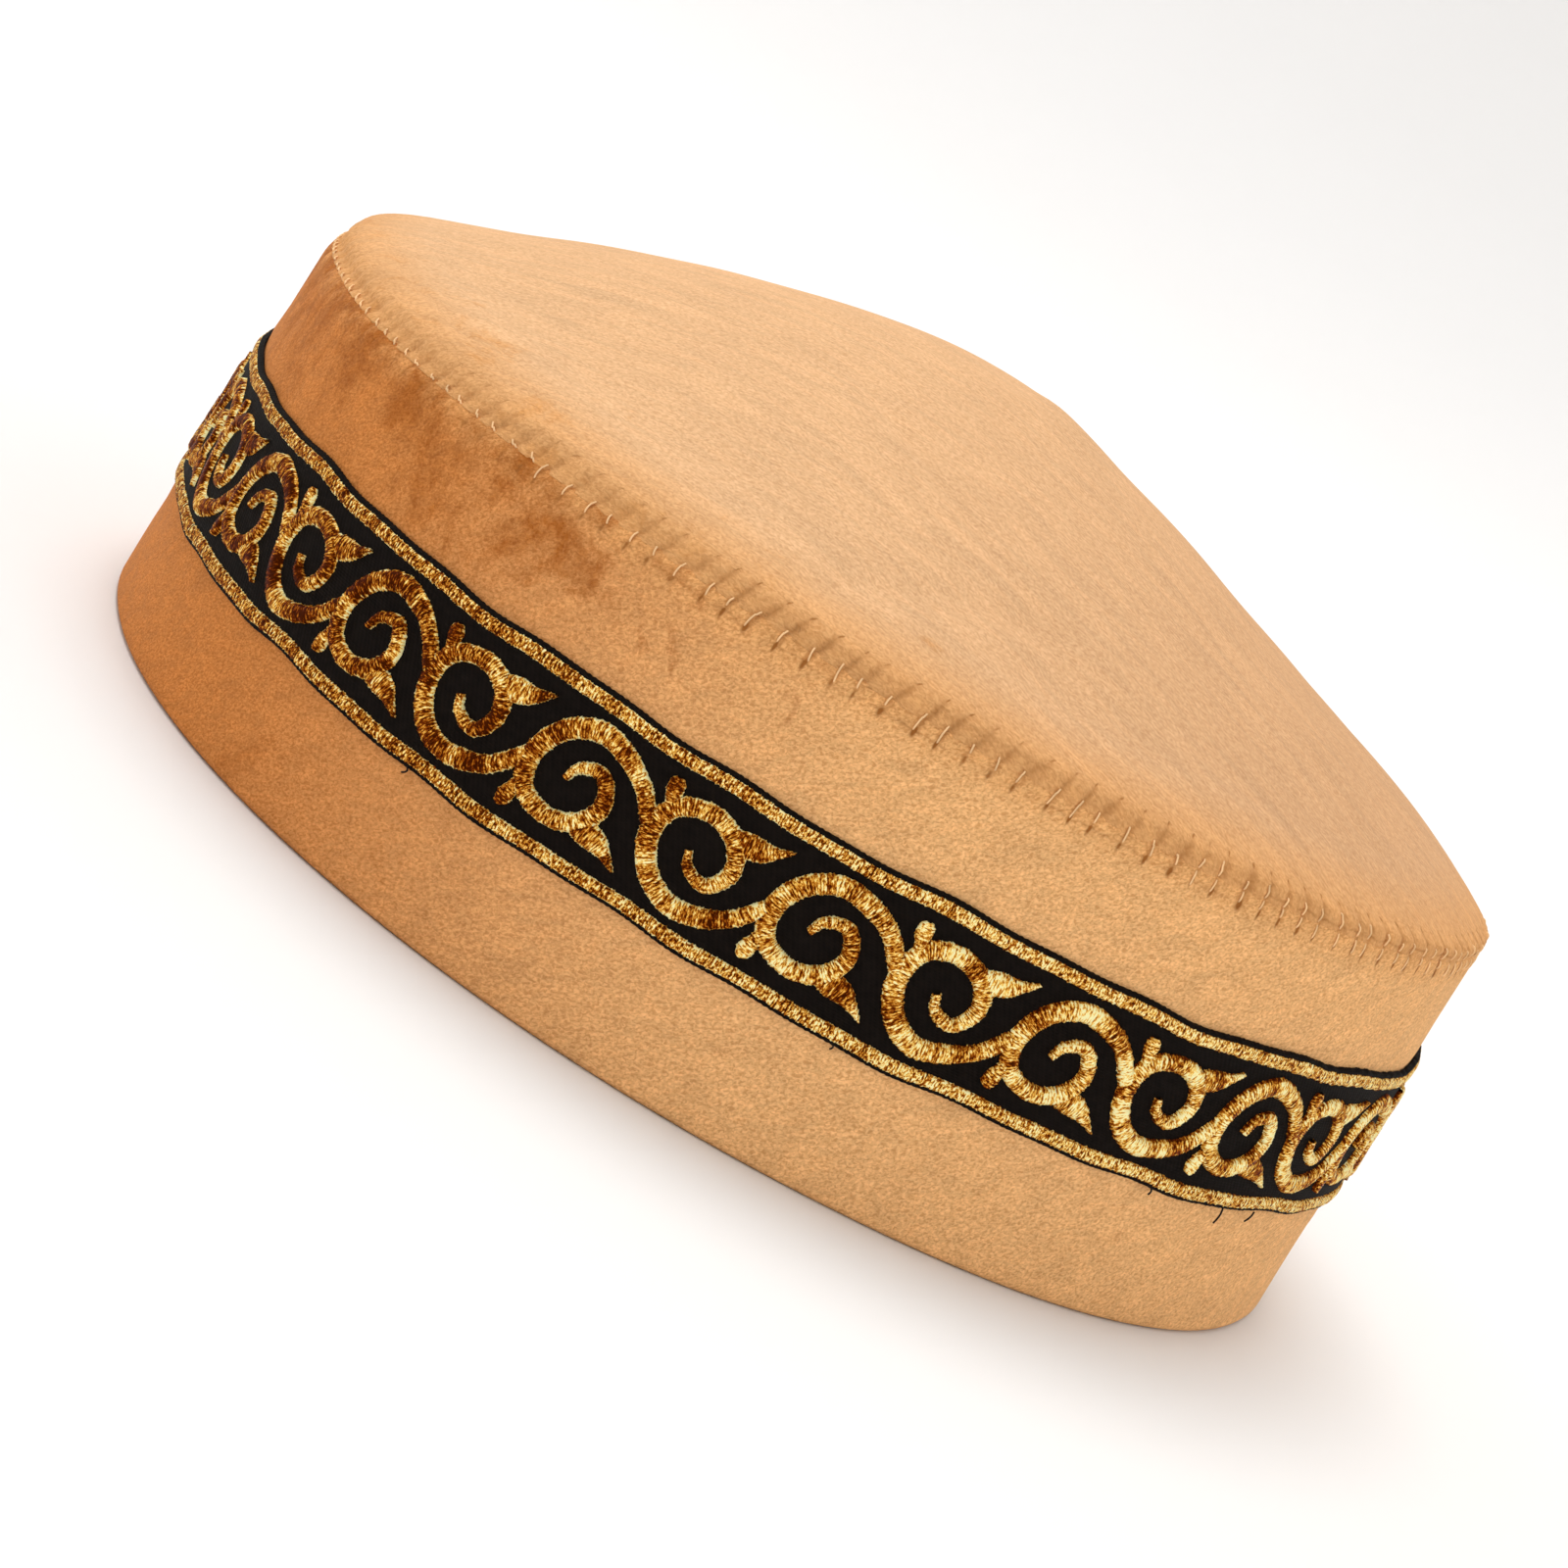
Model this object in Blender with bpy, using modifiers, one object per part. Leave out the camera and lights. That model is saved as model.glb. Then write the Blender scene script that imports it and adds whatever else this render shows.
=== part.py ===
# Velvet skullcap: a domed crown seamed to an upright side band, with an embroidered ribbon round the band.
# Metres, +Z up. The cap stands on its rim at Z = 0, its middle is at X = Y = 0, and its front faces -Y.

import math

import bmesh
import bpy
import numpy as np

# Head hollow at the rim, and the cloth round it
head_half_width = 0.0897
head_half_depth = 0.0945
plan_fullness = 2.1  # exponent of the oval plan: 2 is an ellipse, more is squarer
wall_thickness = 0.0022
piece_gap = 0.0003

# Side band
seam_height = 0.0560
top_inset = 0.0019  # how far the wall has leaned in at the seam
rim_rounding = 0.0008
slope_degrees = 0.9  # trim and seam climb at this angle towards +X, and the rim stays level

# Crown
turned_edge = 0.0015  # upright edge above the seam
crown_rise = 0.0286
apex_offset = -0.003  # along X

# Trim ribbon and its gold edges
ribbon_width = 0.0214
ribbon_height = 0.0180  # of its lower edge over the rim
ribbon_thickness = 0.0008
edge_margin = 0.0007  # black ribbon left outside the gold edge
edge_width = 0.0020
edge_relief = 0.0005

# Running scroll
scroll_repeats = 18  # whole repeats round the girth, each of two scrolls
scroll_relief = 0.0006
scroll_clearance = 0.0006  # black ribbon left between the scroll and the gold edges
first_bud = -0.284  # place of the first bud, as a share of a repeat to the right of the front

girth_stations = 64
rim_steps = 2

# Dome of the crown. Share of the way out from the apex to the edge, and the rise left there
# on the left and right sides as shares of crown_rise
crown_rows = (
    # out_share, left_share, right_share
    (1.000, 0.000, 0.000),
    (0.985, 0.050, 0.032),
    (0.950, 0.115, 0.092),
    (0.880, 0.210, 0.200),
    (0.770, 0.348, 0.334),
    (0.640, 0.518, 0.470),
    (0.500, 0.679, 0.617),
    (0.360, 0.818, 0.767),
    (0.230, 0.928, 0.880),
    (0.110, 0.994, 0.984),
)

# Shallow dents in the crown. Places and sizes are shares of the half width or half depth,
# depths are shares of crown_rise, and turn is in degrees from +X
crown_dents = (
    # side_share, front_share, length_share, width_share, turn_degrees, depth_share
    (0.30, 0.66, 0.30, 0.15, 12, 0.045),
    (-0.08, 0.34, 0.32, 0.08, -16, 0.030),
    (-0.74, 0.28, 0.20, 0.10, 62, 0.040),
)

# Embroidered shapes, flat. Along is a share of the distance between two scrolls, from the bud;
# across and breadth are shares of the scroll's height, across from the middle upwards
scroll_stroke = (
    # along_share, across_share, breadth_share
    (0.975, -0.038, 0.150),
    (0.796, -0.263, 0.150),
    (0.584, -0.383, 0.173),
    (0.345, -0.416, 0.180),
    (0.119, -0.271, 0.180),
    (0.007, 0.000, 0.180),
    (0.080, 0.263, 0.165),
    (0.318, 0.361, 0.158),
    (0.544, 0.271, 0.165),
    (0.637, 0.053, 0.150),
    (0.531, -0.143, 0.128),
    (0.365, -0.098, 0.098),
    (0.305, 0.030, 0.068),
)
leaf_stroke = (
    # along_share, across_share, breadth_share
    (0.540, 0.300, 0.160),
    (0.720, 0.330, 0.135),
    (0.908, 0.432, 0.030),
)
bud_stroke = (
    # along_share, across_share, breadth_share
    (-0.012, 0.462, 0.150),
    (0.030, 0.215, 0.150),
)
stem_cut = 0.45  # share of its first stretch that the last stem loses, to stay clear of the next repeat


def oval_point(angle, half_width, half_depth):
    """A point of the oval plan. Angle 0 is the front, and it runs towards +X."""
    power = 2 / plan_fullness
    x = half_width * math.copysign(abs(math.sin(angle)) ** power, math.sin(angle))
    y = -half_depth * math.copysign(abs(math.cos(angle)) ** power, math.cos(angle))
    return x, y


def wall_halves(height, out):
    """Half width and half depth of the plan at this height, moved out from the band's outer face."""
    inset = top_inset * height / seam_height
    return (
        head_half_width + wall_thickness - inset + out,
        head_half_depth + wall_thickness - inset + out,
    )


def girth_table(height, out):
    """Angles and the length of the oval from the front to each of them."""
    angles = np.linspace(0, 2 * math.pi, 1441)
    points = np.array([oval_point(angle, *wall_halves(height, out)) for angle in angles])
    steps = np.linalg.norm(np.diff(points, axis=0), axis=1)
    return angles, np.concatenate([[0], np.cumsum(steps)])


table_angles, table_lengths = girth_table(ribbon_height + ribbon_width / 2, ribbon_thickness)
ribbon_girth = table_lengths[-1]
repeat_length = ribbon_girth / scroll_repeats
slope = math.tan(math.radians(slope_degrees))


def wall_point(share, height, out=0.0):
    """A point over the band's outer face: share is of the girth from the front, towards +X."""
    angle = float(np.interp((share % 1.0) * ribbon_girth, table_lengths, table_angles))
    x, y = oval_point(angle, *wall_halves(height, out))
    return x, y, height + slope * x * min(height / ribbon_height, 1.0)


def dent_depth(x, y):
    """How far the dents lower the crown at this point of its plan."""
    half_width, half_depth = wall_halves(seam_height, 0.0)
    depth = 0.0
    for side_share, front_share, length_share, width_share, turn_degrees, depth_share in crown_dents:
        dx = x / half_width - side_share
        dy = -y / half_depth - front_share
        turn = math.radians(turn_degrees)
        cosine, sine = math.cos(turn), math.sin(turn)
        along = (dx * cosine + dy * sine) / length_share
        across = (dy * cosine - dx * sine) / width_share
        depth += depth_share * crown_rise * math.exp(-along * along - across * across)
    return depth


def crown_point(share, out_share, left_share, right_share):
    """A point of the crown's outer face, out_share of the way from the apex to the edge."""
    edge_x, edge_y, _ = wall_point(share, seam_height + turned_edge)
    half_width = wall_halves(seam_height, 0.0)[0]
    x = apex_offset + (edge_x - apex_offset) * out_share
    y = edge_y * out_share
    mix = (1 + edge_x / half_width) / 2
    rise = crown_rise * (left_share * (1 - mix) + right_share * mix)
    z = seam_height + turned_edge + slope * x + rise
    return x, y, z - dent_depth(x, y) * min(1.0, (1 - out_share) * 8)


def velvet(name, colour, roughness):
    """A soft pile with a sheen."""
    material = plain_material(name, colour, roughness, 0.0)
    shader = material.node_tree.nodes["Principled BSDF"]
    shader.inputs["Sheen Weight"].default_value = 0.35
    shader.inputs["Sheen Roughness"].default_value = 0.4
    return material


def plain_material(name, colour, roughness, metallic):
    material = bpy.data.materials.new(name)
    material.use_nodes = True
    material.diffuse_color = (*colour, 1.0)
    shader = material.node_tree.nodes["Principled BSDF"]
    shader.inputs["Base Color"].default_value = (*colour, 1.0)
    shader.inputs["Roughness"].default_value = roughness
    shader.inputs["Metallic"].default_value = metallic
    return material


def finished_object(name, bm, material, collection):
    """Makes the object of a bmesh, with smooth faces and sharp corners."""
    mesh = bpy.data.meshes.new(name)
    bm.to_mesh(mesh)
    bm.free()
    mesh.shade_smooth()
    mesh.set_sharp_from_angle(angle=math.radians(40))
    mesh.materials.append(material)
    obj = bpy.data.objects.new(name, mesh)
    collection.objects.link(obj)
    return obj


def extruded_rings(rows):
    """Draws a ring of vertices through the rows, each a function from a girth share to a point.
    Returns the bmesh and the edges of the first and last rings."""
    bm = bmesh.new()
    station = bm.verts.layers.int.new("station")
    bmesh.ops.create_circle(bm, segments=girth_stations, radius=1.0)
    for index, vertex in enumerate(bm.verts):
        vertex[station] = index
    ring = list(bm.edges)
    first = ring
    for row_index, row in enumerate(rows):
        if row_index:
            made = bmesh.ops.extrude_edge_only(bm, edges=ring)["geom"]
            ring = [item for item in made if isinstance(item, bmesh.types.BMEdge)]
            new_vertices = {item for item in made if isinstance(item, bmesh.types.BMVert)}
            ring = [edge for edge in ring if all(end in new_vertices for end in edge.verts)]
        for vertex in {end for edge in ring for end in edge.verts}:
            vertex.co = row(vertex[station] / girth_stations)
    return bm, first, ring


def closed_band(name, profile, material, collection):
    """A closed strip round the head. The profile lists (height, out) round its cross-section."""
    rows = [lambda share, height=height, out=out: wall_point(share, height, out) for height, out in profile]
    bm, first, last = extruded_rings(rows)
    bmesh.ops.bridge_loops(bm, edges=first + last)
    bmesh.ops.recalc_face_normals(bm, faces=bm.faces)
    return finished_object(name, bm, material, collection)


def side_band(material, collection):
    """The upright wall: a rounded rim below, and a plain edge under the crown's seam."""
    top = seam_height - piece_gap / 2
    turns = [math.pi / 2 * (1 - step / rim_steps) for step in range(rim_steps + 1)]
    rounded = [(rim_rounding * (1 - math.sin(turn)), rim_rounding * (math.cos(turn) - 1)) for turn in turns]
    lean_start = (ribbon_height, 0.0)
    profile = [*rounded, lean_start, (top, 0.0), (top, -wall_thickness), (0.0, -wall_thickness)]
    return closed_band("side_band", profile, material, collection)


def crown(material, collection):
    """The dome, an open surface thickened inwards, with an upright edge that meets the side band."""

    def edge_row(share):
        return wall_point(share, seam_height + piece_gap / 2)

    def dome_row(out_share, left_share, right_share):
        return lambda share: crown_point(share, out_share, left_share, right_share)

    rows = [edge_row] + [dome_row(*row) for row in crown_rows]
    bm, _, last = extruded_rings(rows)
    cap = bmesh.ops.extrude_edge_only(bm, edges=last)["geom"]
    tip = [item for item in cap if isinstance(item, bmesh.types.BMVert)]
    bmesh.ops.pointmerge(bm, verts=tip, merge_co=crown_point(0.0, 0.0, 1.0, 1.0))
    bmesh.ops.recalc_face_normals(bm, faces=bm.faces)
    obj = finished_object("crown", bm, material, collection)
    thick = obj.modifiers.new("thickness", "SOLIDIFY")
    thick.thickness = wall_thickness
    thick.offset = -1.0
    thick.use_even_offset = True
    return obj


def trim_ribbon(material, collection):
    inner = piece_gap
    outer = piece_gap + ribbon_thickness
    low, high = ribbon_height, ribbon_height + ribbon_width
    return closed_band(
        "trim_ribbon", [(low, inner), (low, outer), (high, outer), (high, inner)], material, collection
    )


def gold_edge(name, low, material, collection):
    """One satin-stitched line: a low ridge on the ribbon."""
    base = 2 * piece_gap + ribbon_thickness
    bevel = edge_width * 0.22
    profile = [
        (low, base),
        (low + bevel, base + edge_relief),
        (low + edge_width - bevel, base + edge_relief),
        (low + edge_width, base),
    ]
    return closed_band(name, profile, material, collection)


def stroke_outline(rows, length, height):
    """The outline of a stroke: down one side of its centreline and back up the other."""
    centre = np.array([(along * length, across * height) for along, across, _ in rows])
    heading = np.gradient(centre, axis=0)
    heading /= np.linalg.norm(heading, axis=1)[:, None]
    beside = np.stack([-heading[:, 1], heading[:, 0]], axis=1)
    half = np.array([breadth_share * height / 2 for _, _, breadth_share in rows])[:, None]
    return np.concatenate([centre + beside * half, (centre - beside * half)[::-1]])


def flat_shape(name, outline, helpers):
    """A flat plate of the embroidery, as a welded mesh object with its face up."""
    curve = bpy.data.curves.new(name, "CURVE")
    curve.dimensions = "2D"
    curve.fill_mode = "BOTH"
    curve.extrude = scroll_relief / 2
    spline = curve.splines.new("POLY")
    spline.points.add(len(outline) - 1)
    for point, (x, y) in zip(spline.points, outline):
        point.co = (x, y, 0.0, 1.0)
    spline.use_cyclic_u = True
    drawn = bpy.data.objects.new(name, curve)
    helpers.objects.link(drawn)
    graph = bpy.context.evaluated_depsgraph_get()
    mesh = bpy.data.meshes.new_from_object(drawn.evaluated_get(graph))
    bpy.data.objects.remove(drawn)
    bm = bmesh.new()
    bm.from_mesh(mesh)
    bmesh.ops.remove_doubles(bm, verts=bm.verts, dist=1e-6)
    bmesh.ops.recalc_face_normals(bm, faces=bm.faces)
    bm.to_mesh(mesh)
    bm.free()
    obj = bpy.data.objects.new(name, mesh)
    obj.hide_render = True
    obj.display_type = "WIRE"
    helpers.objects.link(obj)
    return obj


def joined_repeat(helpers):
    """One repeat laid flat: a scroll, the same scroll turned over and moved on, and their leaves and buds."""
    spacing = repeat_length / 2
    height = ribbon_width - 2 * (edge_margin + edge_width + scroll_clearance)
    shapes = []
    for index, flip in enumerate((1, -1)):
        strokes = {"stroke": list(scroll_stroke), "leaf": list(leaf_stroke), "bud": list(bud_stroke)}
        if index:
            start, after = strokes["stroke"][:2]
            strokes["stroke"][0] = tuple(a + (b - a) * stem_cut for a, b in zip(start, after))
        for kind, rows in strokes.items():
            outline = stroke_outline(rows, spacing, height)
            outline[:, 0] += index * spacing
            outline[:, 1] *= flip
            shapes.append(flat_shape(f"flat_{kind}_{index}", outline, helpers))
    base = shapes[0]
    for shape in shapes[1:]:
        join = base.modifiers.new(shape.name, "BOOLEAN")
        join.operation = "UNION"
        join.object = shape
    graph = bpy.context.evaluated_depsgraph_get()
    mesh = bpy.data.meshes.new_from_object(base.evaluated_get(graph))
    for shape in shapes:
        bpy.data.objects.remove(shape)
    return mesh


def scrolls(material, collection, helpers):
    """Wraps the flat repeat on to the ribbon, once for each repeat round the girth."""
    flat = joined_repeat(helpers)
    middle = ribbon_height + ribbon_width / 2
    face = 2 * piece_gap + ribbon_thickness + scroll_relief / 2
    for index in range(scroll_repeats):
        bm = bmesh.new()
        bm.from_mesh(flat)
        bmesh.ops.triangulate(bm, faces=bm.faces)
        start = (index + first_bud) * repeat_length
        for vertex in bm.verts:
            along, across, out = vertex.co
            vertex.co = wall_point((start + along) / ribbon_girth, middle + across, face + out)
        finished_object(f"scroll_{index + 1:02d}", bm, material, collection)
    bpy.data.meshes.remove(flat)


def main():
    for obj in list(bpy.data.objects):
        bpy.data.objects.remove(obj)
    cap = bpy.data.collections.new("skullcap")
    helpers = bpy.data.collections.new("helpers")
    for collection in (cap, helpers):
        bpy.context.scene.collection.children.link(collection)

    crown(velvet("crown_velvet", (0.80, 0.50, 0.24), 0.85), cap)
    side_band(velvet("band_velvet", (0.66, 0.36, 0.15), 0.85), cap)
    trim_ribbon(plain_material("black_ribbon", (0.012, 0.010, 0.010), 0.8, 0.0), cap)
    edge_thread = plain_material("edge_thread", (0.75, 0.50, 0.13), 0.38, 0.8)
    gold_edge("lower_gold_edge", ribbon_height + edge_margin, edge_thread, cap)
    upper_low = ribbon_height + ribbon_width - edge_margin - edge_width
    gold_edge("upper_gold_edge", upper_low, edge_thread.copy(), cap)
    scrolls(plain_material("scroll_thread", (0.78, 0.50, 0.12), 0.36, 0.8), cap, helpers)


main()
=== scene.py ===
import math
import random

import bmesh
import bpy
import numpy as np
from mathutils import Matrix, Vector, noise


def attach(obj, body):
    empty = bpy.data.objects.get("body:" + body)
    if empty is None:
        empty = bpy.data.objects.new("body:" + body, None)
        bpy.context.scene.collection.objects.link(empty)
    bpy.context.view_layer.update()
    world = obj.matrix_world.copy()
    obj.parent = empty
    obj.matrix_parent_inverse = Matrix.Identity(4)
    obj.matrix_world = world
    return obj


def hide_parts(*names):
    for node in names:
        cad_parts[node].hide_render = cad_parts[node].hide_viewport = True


# A tan velvet skullcap with a black ribbon embroidered in gold. Metres, Z up, the front faces -Y.
# Share means a place round the head: 0 at the front, 0.25 at +X, 0.5 at the back.

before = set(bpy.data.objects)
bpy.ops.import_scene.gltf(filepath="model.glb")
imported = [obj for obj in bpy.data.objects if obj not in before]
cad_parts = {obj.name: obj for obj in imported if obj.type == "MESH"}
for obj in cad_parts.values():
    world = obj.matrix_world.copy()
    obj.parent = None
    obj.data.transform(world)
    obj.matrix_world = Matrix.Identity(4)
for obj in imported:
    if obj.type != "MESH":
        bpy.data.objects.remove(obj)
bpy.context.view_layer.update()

capSize = {
    "halfWidth": 0.0919,  # outer face of the band at the rim
    "halfDepth": 0.0967,
    "fullness": 2.1,  # exponent of the oval plan
    "wall": 0.0022,
    "seamHeight": 0.0560,
    "topInset": 0.0019,
    "slope": math.tan(math.radians(0.9)),  # trim and seam climb towards +X
    "ribbonHeight": 0.0180,
    "ribbonWidth": 0.0214,
    "ribbonFace": 0.0008,  # of the ribbon, over the band
    "repeats": 18,
    "firstBud": -0.284,  # in repeats, from the front
    "unevenness": 0.00016,  # of the band
}
seamPitch = {"count": 164}  # overcast stitches round the crown seam


def ovalPoint(angle, halfWidth, halfDepth):
    power = 2 / capSize["fullness"]
    x = halfWidth * np.sign(np.sin(angle)) * np.abs(np.sin(angle)) ** power
    y = -halfDepth * np.sign(np.cos(angle)) * np.abs(np.cos(angle)) ** power
    return x, y


def wallInset(height):
    return capSize["topInset"] * height / capSize["seamHeight"]


# Angle of the plan against length round it, at the middle of the ribbon
middleHeight = capSize["ribbonHeight"] + capSize["ribbonWidth"] / 2
tableAngles = np.linspace(0, 2 * math.pi, 2881)
tableX, tableY = ovalPoint(
    tableAngles,
    capSize["halfWidth"] - wallInset(middleHeight) + capSize["ribbonFace"],
    capSize["halfDepth"] - wallInset(middleHeight) + capSize["ribbonFace"],
)
tableLengths = np.concatenate([[0], np.cumsum(np.hypot(np.diff(tableX), np.diff(tableY)))])
girth = tableLengths[-1]
repeatLength = girth / capSize["repeats"]


def wallWave(share, height):
    # Slow unevenness of the band, which the ribbon and its embroidery follow
    turn = 2 * math.pi * share
    rise = height / capSize["seamHeight"]
    wave = np.sin(3 * turn + 0.8) + 0.7 * np.sin(5 * turn - 1.1 + 2 * rise)
    wave = wave + 0.5 * np.sin(8 * turn + 2.0 - 3 * rise) + 0.35 * np.sin(13 * turn + 5 * rise)
    return capSize["unevenness"] * wave * np.clip(rise * 6, 0, 1)


def wallPlace(share, height, out):
    # A point over the band's outer face
    share, height, out = np.broadcast_arrays(share, height, out)
    angle = np.interp(np.mod(share, 1.0) * girth, tableLengths, tableAngles)
    away = out - wallInset(height) + wallWave(share, height)
    x, y = ovalPoint(angle, capSize["halfWidth"] + away, capSize["halfDepth"] + away)
    lift = np.clip(height / capSize["ribbonHeight"], 0, 1)
    return np.stack([x, y, height + capSize["slope"] * x * lift], axis=-1)


cornerLook = {
    "radius": 0.0058,  # of the fold between side and crown, on the left, where it is puffy
    "rightShare": 0.04,  # of that radius on the right
    "depth": 0.26,  # how far the corner is drawn in and where that ends, in radii
    "reach": 0.77,
    "inward": 0.83,  # the way that it is drawn
    "down": 0.56,
}


def softCorner(points, share, distance):
    # Draws the sharp corner over the seam in to a round one; distance is measured from the corner
    leftness = (1 - np.sin(2 * math.pi * share)) / 2
    radius = cornerLook["radius"] * (cornerLook["rightShare"] + (1 - cornerLook["rightShare"]) * leftness**1.5)
    near = np.clip(1 - np.abs(distance) / (cornerLook["reach"] * radius), 0, 1)
    shift = cornerLook["depth"] * radius * near**2
    outward = points[..., :2] / np.array([capSize["halfWidth"], capSize["halfDepth"]]) ** 2
    outward = outward / (np.linalg.norm(outward, axis=-1, keepdims=True) + 1e-9)
    moved = points.copy()
    moved[..., :2] -= cornerLook["inward"] * shift[..., None] * outward
    moved[..., 2] -= cornerLook["down"] * shift
    return moved


def stitchWander(share):
    # The hand-sewn stitches aren't quite evenly spaced
    turn = 2 * math.pi * share
    return 0.10 * np.sin(37 * turn + 0.4) + 0.08 * np.sin(61 * turn + 1.3) + 0.05 * np.sin(113 * turn)


def stitchBend(share, distance):
    # The pucker over a stitch bends as it climbs, here in stitches: rightwards, but leftwards on the right
    lean = 1 - 1.8 * np.exp(-(((np.mod(share + 0.37, 1.0) - 0.5) / 0.10) ** 4))
    return 0.03 * lean * (np.clip(distance + 0.0024, 0, None) / 0.001) ** 1.6


def seamPhase(share, distance):
    # Counts stitches round the seam
    return share * seamPitch["count"] + stitchWander(share) - stitchBend(share, distance)


def smoothRows(rows, places):
    # A smooth line through the rows, read at places counted in rows
    points = np.array(rows, dtype=float)
    ends = np.vstack([2 * points[0] - points[1], points, 2 * points[-1] - points[-2]])
    base = np.clip(np.floor(places).astype(int), 0, len(points) - 2)
    t = (np.asarray(places) - base)[..., None]
    a, b, c, d = (ends[base + step] for step in range(4))
    return 0.5 * (2 * b + (c - a) * t + (2 * a - 5 * b + 4 * c - d) * t**2 + (3 * b - a - 3 * c + d) * t**3)


def meshPoints(mesh):
    points = np.empty(len(mesh.vertices) * 3)
    mesh.vertices.foreach_get("co", points)
    return points.reshape(-1, 3)


def setMeshPoints(mesh, points):
    mesh.vertices.foreach_set("co", np.ascontiguousarray(points, dtype=float).ravel())
    mesh.update()


def faceValues(mesh, name):
    values = np.empty(len(mesh.polygons) * 3)
    mesh.polygons.foreach_get(name, values)
    return values.reshape(-1, 3)


def loopVertices(mesh):
    found = np.empty(len(mesh.loops), dtype=int)
    mesh.loops.foreach_get("vertex_index", found)
    return found


def setMap(mesh, name, perLoop):
    layer = mesh.uv_layers.get(name) or mesh.uv_layers.new(name=name)
    layer.data.foreach_set("uv", np.ascontiguousarray(perLoop, dtype=float).ravel())


def newObject(name, data):
    made = bpy.data.objects.new(name, data)
    bpy.context.scene.collection.objects.link(made)
    return made


def finishedPiece(name, mesh, material, node, weld=0.0):
    # Merges what meets, turns the faces out, and gives the piece its material and its place in the frame
    bm = bmesh.new()
    bm.from_mesh(mesh)
    if weld:
        bmesh.ops.remove_doubles(bm, verts=bm.verts, dist=weld)
    bmesh.ops.recalc_face_normals(bm, faces=bm.faces)
    bm.to_mesh(mesh)
    bm.free()
    mesh.shade_smooth()
    mesh.materials.append(material)
    piece = newObject(name, mesh)
    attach(piece, "root")
    if node:
        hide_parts(node)
    return piece


def flatGrid(name, columns, rows):
    # A flat grid from 0 to 1 both ways, for a strip of cloth or thread that is then laid in place
    bm = bmesh.new()
    shift = Matrix.Translation((0.5, 0.5, 0))
    bmesh.ops.create_grid(bm, x_segments=columns, y_segments=rows, size=0.5, matrix=shift, calc_uvs=False)
    mesh = bpy.data.meshes.new(name)
    bm.to_mesh(mesh)
    bm.free()
    flat = meshPoints(mesh)
    return mesh, flat[:, 0], flat[:, 1]


def addNode(tree, kind, feeds=None, **settings):
    node = tree.nodes.new(kind)
    for name, value in settings.items():
        setattr(node, name, value)
    for name, value in (feeds or {}).items():
        if isinstance(value, bpy.types.NodeSocket):
            tree.links.new(value, node.inputs[name])
        else:
            node.inputs[name].default_value = value
    return node


def math2(tree, operation, a, b=0.0, clamp=False):
    return addNode(tree, "ShaderNodeMath", {0: a, 1: b}, operation=operation, use_clamp=clamp).outputs[0]


def times(tree, a, b):
    return math2(tree, "MULTIPLY", a, b)


def plus(tree, a, b, clamp=False):
    return math2(tree, "ADD", a, b, clamp)


def minus(tree, a, b, clamp=False):
    return math2(tree, "SUBTRACT", a, b, clamp)


def fromMiddle(tree, value):
    return math2(tree, "ABSOLUTE", minus(tree, value, 0.5))


def remap(tree, value, low, high, toLow=0.0, toHigh=1.0):
    feeds = {"Value": value, "From Min": low, "From Max": high, "To Min": toLow, "To Max": toHigh}
    return addNode(tree, "ShaderNodeMapRange", feeds).outputs["Result"]


def noiseField(tree, place, scale, detail, roughness=0.5, distortion=0.0, dimensions="3D"):
    feeds = {"W" if dimensions == "1D" else "Vector": place, "Scale": scale, "Detail": detail}
    feeds.update({"Roughness": roughness, "Distortion": distortion})
    return addNode(tree, "ShaderNodeTexNoise", feeds, noise_dimensions=dimensions).outputs["Fac"]


def chanceFor(tree, count):
    # One random value for each whole count
    feeds = {"W": math2(tree, "FLOOR", count)}
    return addNode(tree, "ShaderNodeTexWhiteNoise", feeds, noise_dimensions="1D").outputs["Value"]


def splitPlace(tree, place):
    return addNode(tree, "ShaderNodeSeparateXYZ", {0: place}).outputs


def stretched(tree, place, factors):
    return addNode(tree, "ShaderNodeVectorMath", {0: place, 1: factors}, operation="MULTIPLY").outputs[0]


def scaledColour(tree, colour, scale):
    return addNode(tree, "ShaderNodeVectorMath", {0: colour, "Scale": scale}, operation="SCALE").outputs[0]


def blendColour(tree, factor, a, b, mode="MIX"):
    node = addNode(tree, "ShaderNodeMix", {0: factor, 6: a, 7: b}, data_type="RGBA", blend_type=mode)
    return node.outputs[2]


def objectPlace(tree):
    return addNode(tree, "ShaderNodeTexCoord").outputs["Object"]


def mapPlace(tree, name):
    return addNode(tree, "ShaderNodeUVMap", uv_map=name).outputs["UV"]


def newGroup(name, inputs):
    tree = bpy.data.node_groups.new(name, "ShaderNodeTree")
    for socketName, kind in inputs.items():
        tree.interface.new_socket(name=socketName, in_out="INPUT", socket_type=f"NodeSocket{kind}")
    return tree, tree.nodes.new("NodeGroupInput").outputs


def finishedGroup(tree, results):
    # Gives the group its outputs, which are all masks and values
    for name in results:
        tree.interface.new_socket(name=name, in_out="OUTPUT", socket_type="NodeSocketFloat")
    wanted = tree.nodes.new("NodeGroupOutput").inputs
    for name, value in results.items():
        tree.links.new(value, wanted[name])
    return tree


def placeGroup(tree, group, feeds):
    return addNode(tree, "ShaderNodeGroup", feeds, node_tree=group).outputs


# Sockets of the groups that take the values of the same name from a look
napValues = ("patchSize", "rib", "streak")
puckerValues = ("reach", "holeRow", "holeSize", "foldRow", "foldFrom", "foldTo")
threadValues = ("run", "base", "leftDarkening", "patch", "speckle", "rim")
photoRight = (0.942, -0.335, 0.0)  # the way that the photograph shows as right


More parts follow.
